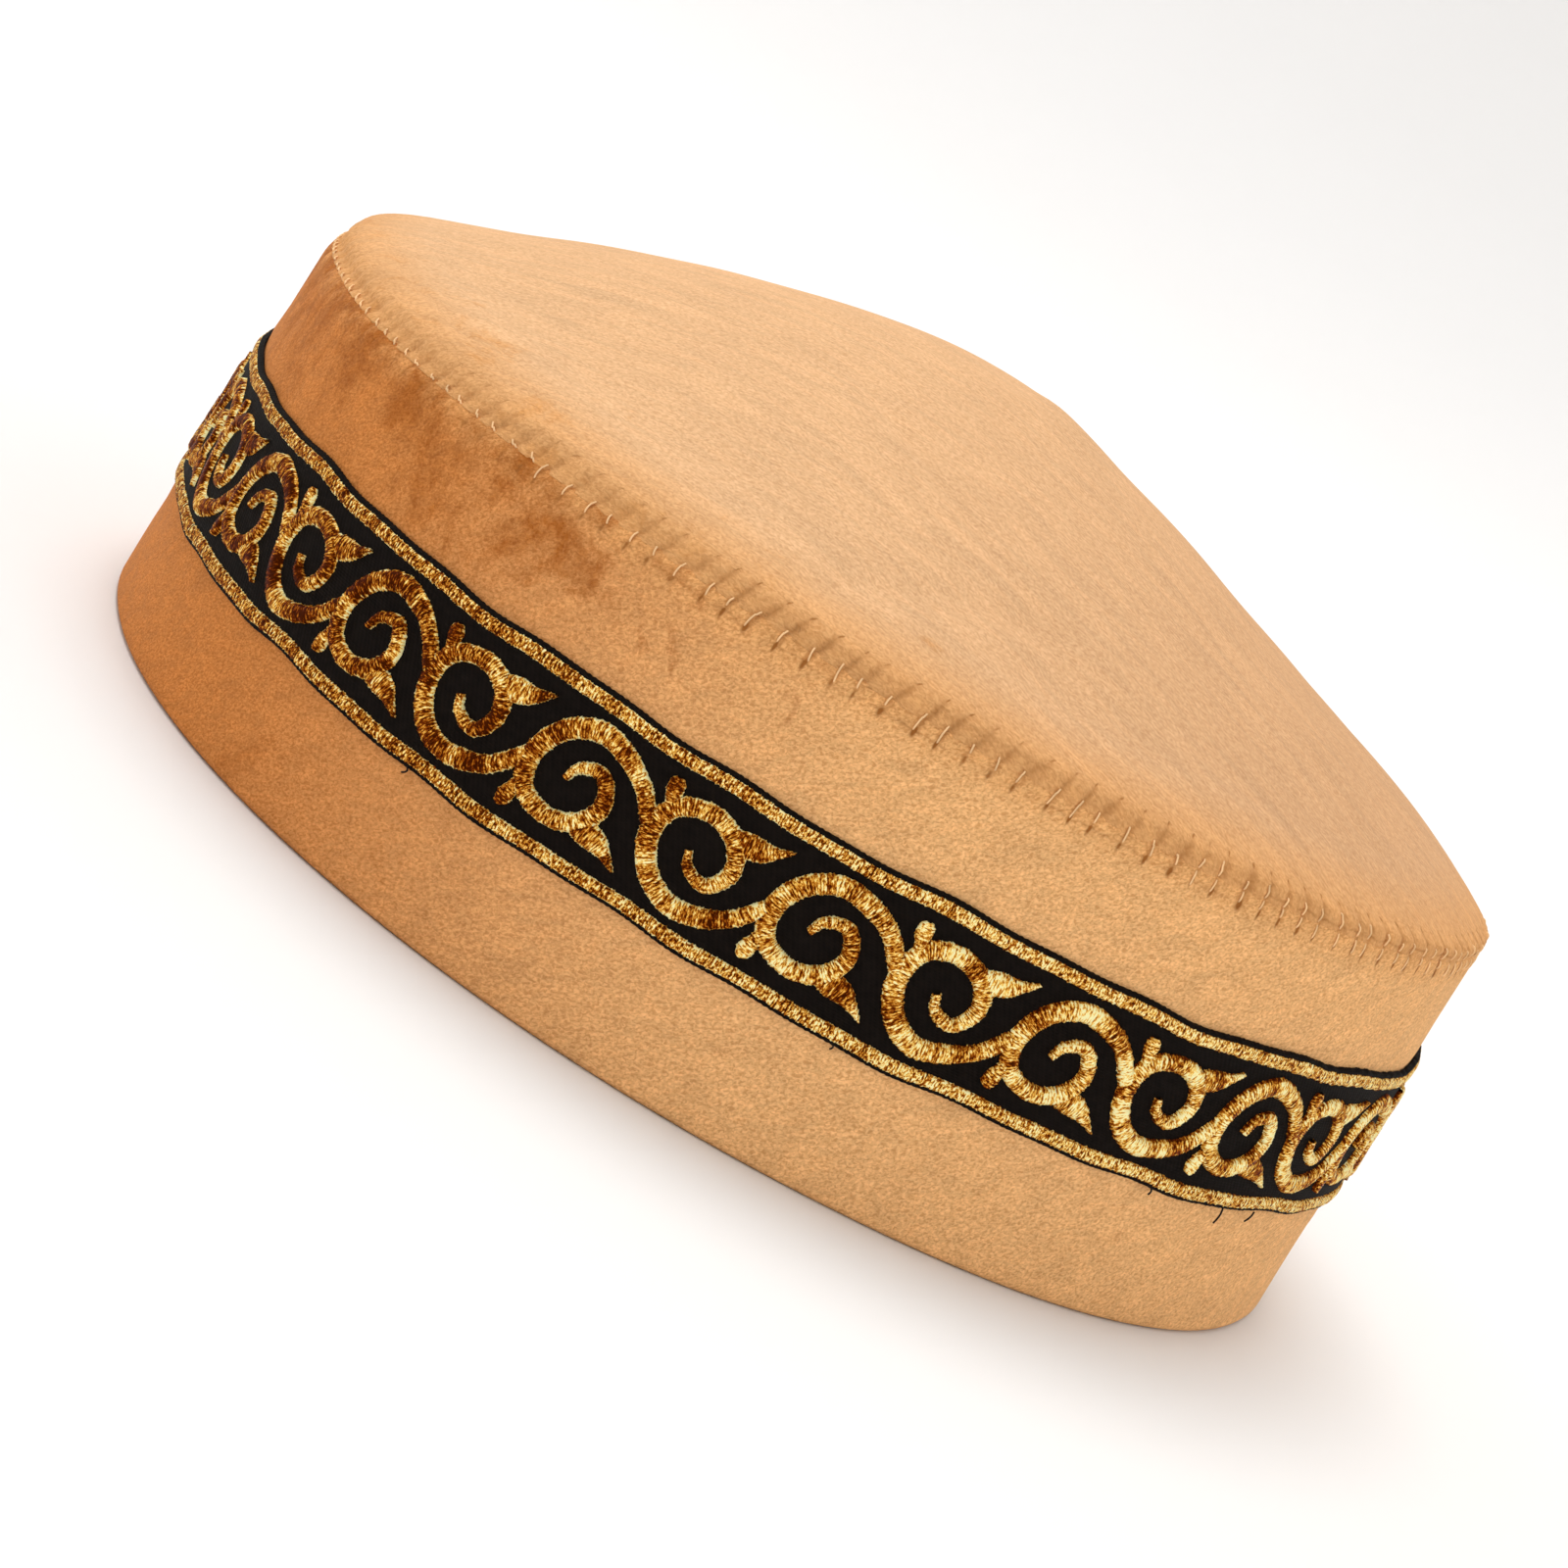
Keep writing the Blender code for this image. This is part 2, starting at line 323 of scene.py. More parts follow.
def makeSideGroup():
    # 0 on the cap's right half and 1 on its left. It places painted light and shade, and more brushed patches
    # on the left:
    # lighter on the left and darker on the right, and the gold's flats painted darker on the left
    # the band painted darker and warmer on the left, partly painted shade and partly brushed pile, the crown
    # painted
    tree, given = newGroup("leftSide", {"place": "Vector", "start": "Float", "end": "Float"})
    feeds = {0: given["place"], 1: photoRight}
    across = addNode(tree, "ShaderNodeVectorMath", feeds, operation="DOT_PRODUCT").outputs["Value"]
    feeds = {"Value": across, "From Min": given["start"], "From Max": given["end"]}
    left = addNode(tree, "ShaderNodeMapRange", feeds, interpolation_type="SMOOTHSTEP").outputs["Result"]
    return finishedGroup(tree, {"left": left, "height": splitPlace(tree, given["place"])["Z"]})


def makeNapGroup():
    # Brushed velvet: slow patches where the pile lies the other way, streaks of the brush, and a fine rib
    inputs = {"place": "Vector", "cut": "Vector", "patchSize": "Float", "patchShare": "Float"}
    tree, given = newGroup("brushedNap", {**inputs, "rib": "Vector", "streak": "Vector"})
    slow = noiseField(tree, given["place"], math2(tree, "DIVIDE", 1.0, given["patchSize"]), 7.0, 0.72, 0.5)
    low = minus(tree, 0.74, given["patchShare"])
    patch = remap(tree, slow, low, plus(tree, low, 0.18))
    streak = noiseField(tree, stretched(tree, given["cut"], given["streak"]), 1.0, 4.0, 0.6, 0.9)
    rib = noiseField(tree, stretched(tree, given["cut"], given["rib"]), 1.0, 2.0, 0.55, 0.7)
    height = plus(tree, times(tree, rib, 0.6), times(tree, streak, 0.4))
    results = {"patch": patch, "mottle": remap(tree, streak, 0.3, 0.7), "grain": remap(tree, rib, 0.34, 0.66)}
    return finishedGroup(tree, {**results, "height": height})


def makePuckerGroup():
    # Where the overcast thread pulls the velvet in: a fine groove at each stitch, a needle hole at its end,
    # and a thin fold along the seam on the right. X of the seam map counts stitches, Y climbs from the seam
    # These masks are painted onto the velvet as shade in the grooves, holes and fold, and also drive a bump
    tree, given = newGroup("seamPuckers", {"seamPlace": "Vector", **dict.fromkeys(puckerValues, "Float")})
    split = splitPlace(tree, given["seamPlace"])
    right = math2(tree, "SINE", times(tree, split["X"], 2 * math.pi / seamPitch["count"]))
    chance = remap(tree, chanceFor(tree, split["X"]), 0.0, 1.0, 0.55, 1.0)
    depth = times(tree, remap(tree, right, -0.95, -0.45, 0.25, 1.0), chance)
    aside = fromMiddle(tree, math2(tree, "FRACT", split["X"]))
    full = times(tree, given["reach"], 0.6)
    near = remap(tree, math2(tree, "ABSOLUTE", split["Y"]), full, given["reach"], 1.0, 0.0)
    groove = times(tree, remap(tree, aside, 0.01, 0.20, 1.0, 0.0), near)
    sideways = times(tree, aside, 2.2 * girth / seamPitch["count"])
    up = times(tree, minus(tree, split["Y"], given["holeRow"]), 0.8)
    away = plus(tree, math2(tree, "POWER", sideways, 2.0), math2(tree, "POWER", up, 2.0))
    away = math2(tree, "SQRT", away)
    hole = remap(tree, away, times(tree, given["holeSize"], 0.3), given["holeSize"], 1.0, 0.0)
    wander = noiseField(tree, split["X"], 0.8, 2.0, dimensions="1D")
    foldRow = plus(tree, given["foldRow"], remap(tree, wander, 0.3, 0.7, -0.0003, 0.0003))
    offRow = math2(tree, "ABSOLUTE", minus(tree, split["Y"], foldRow))
    fold = remap(tree, offRow, 0.00004, 0.00026, 1.0, 0.0)
    fold = times(tree, fold, remap(tree, right, given["foldFrom"], given["foldTo"]))
    fold = times(tree, times(tree, fold, depth), remap(tree, wander, 0.42, 0.56, 0.25, 1.0))
    results = {"groove": times(tree, groove, depth), "hole": times(tree, hole, depth), "fold": fold}
    return finishedGroup(tree, results)


def makeThreadGroup():
    # Satin stitches side by side: X of the map counts threads, Y crosses the stroke from 0 to 1
    # Its shade is painted light on the gold: dark reflections, highlights and glints, mixed with random tone
    # of the threads
    inputs = {"map": "Vector", "left": "Float", **dict.fromkeys(threadValues, "Float")}
    tree, given = newGroup("satinThreads", inputs)
    split = splitPlace(tree, given["map"])
    single = chanceFor(tree, split["X"])
    run = noiseField(tree, math2(tree, "DIVIDE", split["X"], given["run"]), 1.0, 2.0, dimensions="1D")
    fleck = noiseField(tree, stretched(tree, given["map"], (1.1, 4.5, 0.0)), 1.0, 2.0, 0.7, dimensions="2D")
    # Painted reflection: the flats are darker on the left and lighter on the right
    shade = minus(tree, given["base"], times(tree, given["left"], given["leftDarkening"]))
    # Slow runs along the stroke and a speckle by thread: painted glints, mixed with random tone of the threads
    shade = plus(tree, shade, times(tree, remap(tree, run, 0.35, 0.65, -0.5, 0.5), given["patch"]))
    speckle = remap(tree, single, 0.0, 1.0, -0.22, 0.22)
    speckle = plus(tree, speckle, remap(tree, fleck, 0.32, 0.68, -0.75, 0.75))
    shade = plus(tree, shade, times(tree, speckle, given["speckle"]))
    # The threads turn over the rim of a stroke, each a little further in or out.
    # There a painted highlight brightens them on the left, while on the right the rim is painted darker than
    # the middle
    aside = plus(tree, fromMiddle(tree, split["Y"]), remap(tree, single, 0.0, 1.0, -0.07, 0.07))
    rim = times(tree, remap(tree, aside, 0.30, 0.40), given["rim"])
    shade = plus(tree, shade, times(tree, rim, remap(tree, given["left"], 0.0, 0.5, -0.75, 1.0)))
    # Painted shade in the dip between two threads
    dipShade = remap(tree, fromMiddle(tree, math2(tree, "FRACT", split["X"])), 0.26, 0.5, 0.0, 0.32)
    results = {"shade": minus(tree, shade, dipShade, clamp=True)}
    return finishedGroup(tree, {**results, "roughness": remap(tree, single, 0.0, 1.0, 0.26, 0.42)})


sideGroup = makeSideGroup()
napGroup = makeNapGroup()
puckerGroup = makePuckerGroup()
threadGroup = makeThreadGroup()


def newMaterial(name, fixed):
    material = bpy.data.materials.new(name)
    material.use_nodes = True
    shader = material.node_tree.nodes["Principled BSDF"]
    for socketName, value in fixed.items():
        shader.inputs[socketName].default_value = value
    return material, material.node_tree, shader


def velvetMaterial(name, look):
    fixed = {"Sheen Weight": look["sheen"], "Sheen Roughness": 0.45, "Sheen Tint": look["sheenTint"]}
    material, tree, shader = newMaterial(name, {**fixed, "Specular IOR Level": 0.06, "Metallic": 0.0})
    place = objectPlace(tree)
    seamPlace = mapPlace(tree, "seam")
    side = placeGroup(tree, sideGroup, {"place": place, "start": look["leftFrom"], "end": look["leftTo"]})
    brushed = times(tree, side["left"], remap(tree, side["height"], *look["patchHeights"]))
    brushed = times(tree, brushed, look["leftPatches"])
    feeds = {"Vector": mapPlace(tree, "cut"), "Rotation": (0, 0, look["turn"])}
    cut = addNode(tree, "ShaderNodeMapping", feeds).outputs[0]
    feeds = {"place": place, "cut": cut, "patchShare": plus(tree, brushed, look["patchShare"])}
    nap = placeGroup(tree, napGroup, {**feeds, **{key: look[key] for key in napValues}})
    feeds = {"seamPlace": seamPlace, **{key: look[key] for key in puckerValues}}
    pucker = placeGroup(tree, puckerGroup, feeds)
    # Painted light and shade across the cap: the crown lighter on its left and darker on its right, the band
    # darker
    # and warmer on its left, which is partly painted shade and partly brushed pile
    colour = blendColour(tree, side["left"], look["colour"], look["leftShadingColour"])
    # Painted light near the seam: the crown's turned edge, which the lamps light weakly, is warmed so that it
    # reads as lit;
    # on the band a strip just below the seam turns to one even colour
    byEdge = remap(tree, splitPlace(tree, seamPlace)["Y"], *look["edgeReach"], 1.0, 0.0)
    colour = blendColour(tree, times(tree, byEdge, look["edgeShare"]), colour, look["edgeColour"])
    colour = blendColour(tree, nap["patch"], colour, look["patchColour"])
    # The grain darkens towards the warmer colour deep in the pile
    grain = look["grain"]
    lowTone = (1 - grain, 1 - 1.5 * grain, 1 - 2.0 * grain, 1.0)
    highTone = (1 + grain, 1 + 1.3 * grain, 1 + 1.6 * grain, 1.0)
    tone = blendColour(tree, nap["grain"], lowTone, highTone)
    colour = blendColour(tree, 1.0, colour, tone, "MULTIPLY")
    # Painted shade: the grooves and needle holes of the stitches and the fold along the seam are painted in a
    # darker, warmer colour
    creaseShade = plus(tree, times(tree, pucker["groove"], look["grooveShade"]), pucker["hole"])
    creaseShade = plus(tree, creaseShade, times(tree, pucker["fold"], look["foldShade"]), clamp=True)
    colour = blendColour(tree, creaseShade, colour, look["creaseShadeColour"])
    mottle = remap(tree, nap["mottle"], 0.0, 1.0, 1.0 - look["mottle"], 1.0 + look["mottle"])
    tree.links.new(scaledColour(tree, colour, mottle), shader.inputs["Base Color"])
    tree.links.new(remap(tree, nap["mottle"], 0.0, 1.0, 0.74, 0.9), shader.inputs["Roughness"])
    feeds = {"Height": nap["height"], "Strength": look["bump"], "Distance": 0.0004}
    fine = addNode(tree, "ShaderNodeBump", feeds).outputs[0]
    feeds = {"Height": creaseShade, "Strength": look["puckerBump"], "Distance": 0.0006, "Normal": fine}
    tree.links.new(addNode(tree, "ShaderNodeBump", feeds, invert=True).outputs[0], shader.inputs["Normal"])
    return material


def goldMaterial(name, look):
    fixed = {"Metallic": look["metallic"], "Specular IOR Level": 0.03, "Specular Tint": look["gleam"]}
    material, tree, shader = newMaterial(name, fixed)
    feeds = {"place": objectPlace(tree), "start": look["leftFrom"], "end": look["leftTo"]}
    left = placeGroup(tree, sideGroup, feeds)["left"]
    feeds = {"map": mapPlace(tree, "threads"), "left": left, **{key: look[key] for key in threadValues}}
    threads = placeGroup(tree, threadGroup, feeds)
    # The base colour is painted light: the threads' shade runs from dark reflections to highlights
    ramp = addNode(tree, "ShaderNodeValToRGB", {0: threads["shade"]})
    stops = ramp.color_ramp.elements
    while len(stops) < len(look["colours"]):
        stops.new(0.5)
    for stop, (position, colour) in zip(stops, look["colours"]):
        stop.position = position
        stop.color = (*colour, 1.0)
    tree.links.new(ramp.outputs[0], shader.inputs["Base Color"])
    tree.links.new(threads["roughness"], shader.inputs["Roughness"])
    return material


def ribbonMaterial(name, look):
    fixed = {"Metallic": 0.0, "Specular IOR Level": 0.06, "Sheen Weight": 0.0, "Roughness": 0.75}
    material, tree, shader = newMaterial(name, fixed)
    cut = mapPlace(tree, "cut")
    split = splitPlace(tree, cut)
    slant = plus(tree, split["X"], times(tree, split["Y"], 0.6))
    twill = math2(tree, "SINE", times(tree, slant, 2 * math.pi / look["twill"]))
    weft = math2(tree, "SINE", times(tree, split["Y"], 2 * math.pi / look["weft"]))
    weave = plus(tree, times(tree, twill, 0.6), times(tree, weft, 0.4))
    fuzz = noiseField(tree, cut, 900.0, 3.0)
    shade = remap(tree, weave, -1.0, 1.0, 0.0, 0.5)
    shade = plus(tree, shade, remap(tree, fuzz, 0.3, 0.7, 0.0, 0.5), clamp=True)
    colour = blendColour(tree, shade, look["dark"], look["light"])
    tree.links.new(colour, shader.inputs["Base Color"])
    bump = addNode(tree, "ShaderNodeBump", {"Height": shade, "Strength": 0.5, "Distance": 0.00015})
    tree.links.new(bump.outputs[0], shader.inputs["Normal"])
    return material


def threadMaterial(name, colour):
    fixed = {"Metallic": 0.0, "Roughness": 0.7, "Specular IOR Level": 0.1, "Sheen Weight": 0.0}
    material, tree, shader = newMaterial(name, fixed)
    light = remap(tree, noiseField(tree, objectPlace(tree), 400.0, 2.0), 0.3, 0.7, 0.82, 1.12)
    tree.links.new(scaledColour(tree, colour, light), shader.inputs["Base Color"])
    return material


crownLook = {
    "rise": 0.0286,
    "apexOffset": -0.003,
    "turnedEdge": 0.0015,
    "gridSide": 205,  # four sides of this many cells hold five cells for each stitch
    "thickness": 0.0018,
    "unevenness": 0.00035,
    "pucker": 0.00050,  # depth of the groove at each stitch
    "wrinkle": 0.00016,
    "wrinkleWidth": 0.0030,
    "tip": 0.0004,  # rise of the small point at the apex
    "tipSize": 0.004,
}
# Profile from the seam to the apex: share of the way out, and the rise on the left and the right
crownProfile = (
    # out, left, right
    (1.0003, -0.0640, -0.0640),
    (1.0003, -0.0400, -0.0400),
    (1.0000, 0.0000, 0.0000),
    (0.9850, 0.0500, 0.0320),
    (0.9500, 0.1150, 0.0920),
    (0.8800, 0.2100, 0.2000),
    (0.7700, 0.3480, 0.3340),
    (0.6400, 0.5180, 0.4700),
    (0.5000, 0.6790, 0.6170),
    (0.3600, 0.8180, 0.7670),
    (0.2300, 0.9280, 0.8800),
    (0.1100, 0.9940, 0.9840),
    (0.0000, 1.0000, 1.0000),
)
# Soft dents. Places and sizes are shares of the half width or half depth, turn is from +X
crownDents = (
    # side, front, halfLength, halfWidth, turn, depth in metres
    (-0.02, 0.84, 0.30, 0.10, -8, 0.0009),
    (-0.72, 0.34, 0.22, 0.09, 70, 0.0008),
    (0.46, 0.30, 0.30, 0.10, -50, 0.0005),
)
# Creases along lines of points in millimetres from the middle, negative depths stand up
crownCreases = (
    # width, depth, points
    (0.0013, 0.00035, ((-31, -21), (-26, -37), (-20, -49), (-13.5, -59.5), (-7, -66.5))),
    (0.0040, 0.00060, ((-6, -70), (-4.6, -80), (-3, -87))),
    (0.0032, 0.00055, ((-36.9, -79.3), (-27.1, -75.7), (-9.2, -69.7))),
    (0.0050, -0.00040, ((1.8, -70.9), (11.8, -79.6), (19.4, -82.6))),
    (0.0024, 0.00030, ((-64, -43), (-55, -55), (-47, -62))),
    (0.0020, 0.00022, ((40, -58), (46, -66), (55, -66))),
)

profileTable = np.array(crownProfile)
meanRise = profileTable[:, 1:].mean(axis=1) * crownLook["rise"]
profileSteps = np.hypot(np.diff(profileTable[:, 0] * capSize["halfWidth"]), np.diff(meanRise))
profileLengths = np.concatenate([[0], np.cumsum(profileSteps)])


def crownPlace(share, distance):
    # A point of the crown's face, this far from its lower edge along the profile
    share, distance = np.broadcast_arrays(share, distance)
    rows = np.interp(distance, profileLengths, np.arange(len(profileTable)))
    out, left, right = np.moveaxis(smoothRows(crownProfile, rows), -1, 0)
    edge = wallPlace(share, capSize["seamHeight"] + crownLook["turnedEdge"], 0.0)
    middle = crownLook["apexOffset"]
    x = middle + (edge[..., 0] - middle) * out
    y = edge[..., 1] * out
    mix = (1 + edge[..., 0] / (capSize["halfWidth"] - capSize["topInset"])) / 2
    rise = crownLook["rise"] * (left * (1 - mix) + right * mix)
    z = capSize["seamHeight"] + crownLook["turnedEdge"] + capSize["slope"] * x + rise
    return softCorner(np.stack([x, y, z], axis=-1), share, distance - profileLengths[2])


def seamPucker(share, distance):
    # 1 in the groove of a stitch and 0 between two, fading away from the seam
    aside = np.abs(np.mod(seamPhase(share, distance), 1.0) - 0.5)
    return np.exp(-((aside / 0.16) ** 2)) * np.exp(-(((distance - 0.0008) / 0.0029) ** 2))


def dentDepth(x, y):
    depth = np.zeros_like(x)
    for side, front, halfLength, halfWidth, turn, deep in crownDents:
        dx = x / capSize["halfWidth"] - side
        dy = -y / capSize["halfDepth"] - front
        cosine, sine = math.cos(math.radians(turn)), math.sin(math.radians(turn))
        along = (dx * cosine + dy * sine) / halfLength
        across = (dy * cosine - dx * sine) / halfWidth
        depth += deep * np.exp(-along * along - across * across)
    for width, deep, points in crownCreases:
        line = np.array(points) / 1000
        nearest = np.full(x.shape, np.inf)
        for start, end in zip(line, line[1:]):
            run = end - start
            part = np.clip(((x - start[0]) * run[0] + (y - start[1]) * run[1]) / (run @ run), 0, 1)
            away = np.hypot(x - start[0] - run[0] * part, y - start[1] - run[1] * part)
            nearest = np.minimum(nearest, away)
        depth += deep * np.exp(-((nearest / width) ** 2))
    return depth


def makeCrown(material):
    side = crownLook["gridSide"]
    mesh, flatX, flatY = flatGrid("crownCloth", side, side)
    # The square grid is drawn out to a disc, so that the cloth has no pole and no join
    px, py = flatX * 2 - 1, flatY * 2 - 1
    wide = np.abs(px) >= np.abs(py)
    radius = np.where(wide, px, py)
    safe = np.where(np.abs(radius) < 1e-9, 1e-9, radius)
    angle = np.where(wide, math.pi / 4 * py / safe, math.pi / 2 - math.pi / 4 * px / safe)
    angle = angle + np.where(radius < 0, math.pi, 0.0)
    radius = np.abs(radius)
    share = np.mod(angle / (2 * math.pi), 1.0)
    distance = (1 - radius) ** 1.35 * profileLengths[-1]
    base = crownPlace(share, distance)
    setMeshPoints(mesh, base)
    loops = loopVertices(mesh)
    run = (profileLengths[-1] - distance)[loops]
    turn = 2 * math.pi * share[loops]
    setMap(mesh, "cut", np.stack([run * np.sin(turn), -run * np.cos(turn)], axis=-1))
    # The stitch count runs on across the front, where the share starts again
    count = seamPitch["count"]
    corners = seamPhase(share, distance)[loops].reshape(-1, 4)
    corners = np.where(corners.max(axis=1, keepdims=True) - corners > count / 2, corners + count, corners)
    setMap(mesh, "seam", np.stack([corners.ravel(), distance[loops]], axis=-1))
    normals = np.empty(len(mesh.vertices) * 3)
    mesh.vertices.foreach_get("normal", normals)
    normals = normals.reshape(-1, 3)
    normals *= np.where(normals[:, 2:3].mean() < 0, -1.0, 1.0)
    lift = -dentDepth(base[:, 0], base[:, 1]) * np.clip(distance / 0.008, 0, 1)
    lift -= crownLook["pucker"] * seamPucker(share, distance)
    # Fine wrinkles gather over the seam at the left corner
    leftCorner = np.exp(-(((np.mod(share + 0.5, 1.0) - 0.29) / 0.07) ** 2))
    leftCorner *= np.exp(-(((distance - 0.009) / 0.008) ** 2))
    for index, point in enumerate(base):
        place = Vector(point)
        slow = noise.noise(place * 34) + 0.35 * noise.noise(place * 95)
        lift[index] += crownLook["unevenness"] * slow * min(1.0, distance[index] / 0.006)
        if leftCorner[index] > 0.02:
            turns = distance[index] / crownLook["wrinkleWidth"] * 2 * math.pi
            ripple = math.sin(turns + 5 * noise.noise(place * 60))
            lift[index] += crownLook["wrinkle"] * ripple * leftCorner[index]
    fromTip = np.hypot(base[:, 0] - crownLook["tipSize"], base[:, 1])
    lift += crownLook["tip"] * np.exp(-((fromTip / crownLook["tipSize"]) ** 2))
    setMeshPoints(mesh, base + normals * lift[:, None])
    piece = finishedPiece("crownCloth", mesh, material, "crown")
    if faceValues(mesh, "normal")[:, 2].sum() < 0:
        mesh.flip_normals()
    thick = piece.modifiers.new("thickness", "SOLIDIFY")
    thick.thickness = crownLook["thickness"]
    thick.offset = -1.0
    thick.use_even_offset = False
    return piece


bandLook = {
    "columns": seamPitch["count"] * 5,
    "rimRadius": 0.0011,
    "pucker": 0.00030,
    "swell": 0.00022,  # of the velvet beside the ribbon, which is sewn down tight
    "swellWaves": 23,
    "swellSize": 0.0022,
    "swellFade": 0.0016,
    "turning": 0.010,  # folded under at the rim
}


def bandProfile():
    # Down the outer face, round the rim and up the inner face: height and out
    top = capSize["seamHeight"]
    radius = bandLook["rimRadius"]
    points = [(top + 0.0001, -0.00035), (top - 0.0002, -0.0001)]
    points += [(top - step, 0.0) for step in (0.0006, 0.0011, 0.0016, 0.0022, 0.0029, 0.0037)]
    points += [(height, 0.0) for height in np.linspace(top - 0.0050, radius, 26)]
    for turn in np.linspace(15, 165, 6):
        bend = math.radians(turn)
        points.append((radius * (1 - math.sin(bend)), radius * (math.cos(bend) - 1)))
    points += [(height, -capSize["wall"]) for height in np.linspace(radius, top, 7)]
    return np.array(points + points[:1])


def makeBand(material):
    profile = bandProfile()
    mesh, share, row = flatGrid("bandCloth", bandLook["columns"], len(profile) - 1)
    index = np.rint(row * (len(profile) - 1)).astype(int)
    height, out = profile[index, 0], profile[index, 1]
    distance = height - capSize["seamHeight"]
    outside = out > -0.0011
    low = capSize["ribbonHeight"] - bandLook["swellSize"]
    high = capSize["ribbonHeight"] + capSize["ribbonWidth"] + bandLook["swellSize"]
    beside = sum(np.exp(-(((height - middle) / bandLook["swellFade"]) ** 2)) for middle in (low, high))
    lift = bandLook["swell"] * beside * (0.75 + 0.5 * np.sin(2 * math.pi * share * bandLook["swellWaves"]))
    lift -= bandLook["pucker"] * seamPucker(share, distance)
    placed = wallPlace(share, height, out + np.where(outside, lift, 0.0))
    setMeshPoints(mesh, softCorner(placed, share, distance - crownLook["turnedEdge"]))
    loops = loopVertices(mesh)
    steps = np.concatenate([[0], np.cumsum(np.hypot(*np.diff(profile, axis=0).T))])
    setMap(mesh, "cut", np.stack([share[loops] * girth, -steps[index][loops]], axis=-1))
    phase = seamPhase(share, distance)
    setMap(mesh, "seam", np.stack([phase[loops], np.where(outside, distance, -0.02)[loops]], axis=-1))
    piece = finishedPiece("bandCloth", mesh, material, "side_band", weld=1e-6)
    return piece


ribbonLook = {
    "columns": 1500,
    "wander": 0.00022,  # of its edges
    "scallop": 0.00013,
    "selvedge": 0.00012,  # bead along each edge
    "fray": 0.00006,
    "frayCount": 640,
}


def edgeWander(share, upper):
    # How far the ribbon's upper or lower edge wanders from a straight line
    turn = 2 * math.pi * share
    shift = 1.7 if upper else 0.0
    wave = np.sin(11 * turn + shift) + 0.8 * np.sin(23 * turn + 2.1 * shift)
    wave = wave + 0.5 * np.sin(41 * turn + shift * 3)
    scallops = np.clip(np.sin(turn), 0, 1) ** 2 * (np.sin(171 * turn) + 0.7 * np.sin(233 * turn + 1.0))
    return ribbonLook["wander"] * wave + ribbonLook["scallop"] * scallops * (1.0 if upper else 0.4)


def ribbonShift(share, rise):
    # Height change of a point of the ribbon, rise 0 at the lower edge and 1 at the upper
    return edgeWander(share, False) * (1 - rise) ** 2 + edgeWander(share, True) * rise**2


def makeRibbon(material):
    width = capSize["ribbonWidth"]
    face = capSize["ribbonFace"]
    # Up the face from the lower edge to the upper one, and down the back
    rises = [0.0, 0.0, 0.006, 0.02, 0.035, 0.06, 0.2, 0.35, 0.5, 0.65, 0.8, 0.94, 0.965, 0.98, 0.994, 1.0, 1.0]
    rises += [0.5, 0.0]
    back, bead = 0.00015, face + ribbonLook["selvedge"]
    outs = [back, face - 0.0004, face, bead] + [face] * 9 + [bead, face, face - 0.0004, back, 0.0001, back]
    mesh, share, row = flatGrid("trimRibbon", ribbonLook["columns"], len(rises) - 1)
    index = np.rint(row * (len(rises) - 1)).astype(int)
    rise, out = np.array(rises)[index], np.array(outs)[index]
    height = capSize["ribbonHeight"] + rise * width + ribbonShift(share, rise)
    edge = np.clip(np.abs(rise - 0.5) * 2, 0, 1) ** 12
    height = height + ribbonLook["fray"] * edge * np.sin(2 * math.pi * share * ribbonLook["frayCount"])
    setMeshPoints(mesh, wallPlace(share, height, out))
    loops = loopVertices(mesh)
    setMap(mesh, "cut", np.stack([share[loops] * girth, rise[loops] * width], axis=-1))
    piece = finishedPiece("trimRibbon", mesh, material, "trim_ribbon", weld=1e-6)
    return piece


goldLook = {
    "pitch": 0.00036,  # from thread to thread
    "ridge": 0.00007,  # of each thread over the dip beside it
    "ragged": 0.00013,  # how unevenly the threads end
    "edgeMargin": 0.00045,
    "edgeWidth": 0.0018,
    "edgeRelief": 0.00045,
    "scrollClearance": 0.00105,
    "scrollRelief": 0.00085,
    "leafRelief": 0.00070,
    "budRelief": 0.00075,
    "overlap": 0.00004,  # of the second half's scroll over the first
    "sink": 0.00005,  # into the ribbon
}
# Running scroll, flat: along is a share of half a repeat from the bud, the rest of the scroll's height
scrollStroke = (
    # along, across, breadth
    (0.975, -0.038, 0.150),
    (0.796, -0.263, 0.150),
    (0.584, -0.383, 0.173),
    (0.345, -0.416, 0.180),
    (0.119, -0.271, 0.180),
    (0.007, 0.000, 0.180),
    (0.080, 0.263, 0.165),
    (0.318, 0.361, 0.158),
    (0.544, 0.271, 0.165),
    (0.637, 0.053, 0.150),
    (0.531, -0.143, 0.128),
    (0.365, -0.098, 0.098),
    (0.305, 0.030, 0.068),
)
leafStroke = (
    # along, across, breadth
    (0.500, 0.290, 0.150),
    (0.620, 0.300, 0.215),
    (0.735, 0.325, 0.190),
    (0.830, 0.375, 0.110),
    (0.940, 0.455, 0.018),
)
budStroke = (
    # along, across, breadth
    (-0.016, 0.480, 0.050),
    (-0.013, 0.462, 0.110),
    (-0.007, 0.420, 0.150),
    (0.004, 0.360, 0.145),
    (0.018, 0.290, 0.105),
    (0.032, 0.215, 0.085),
)


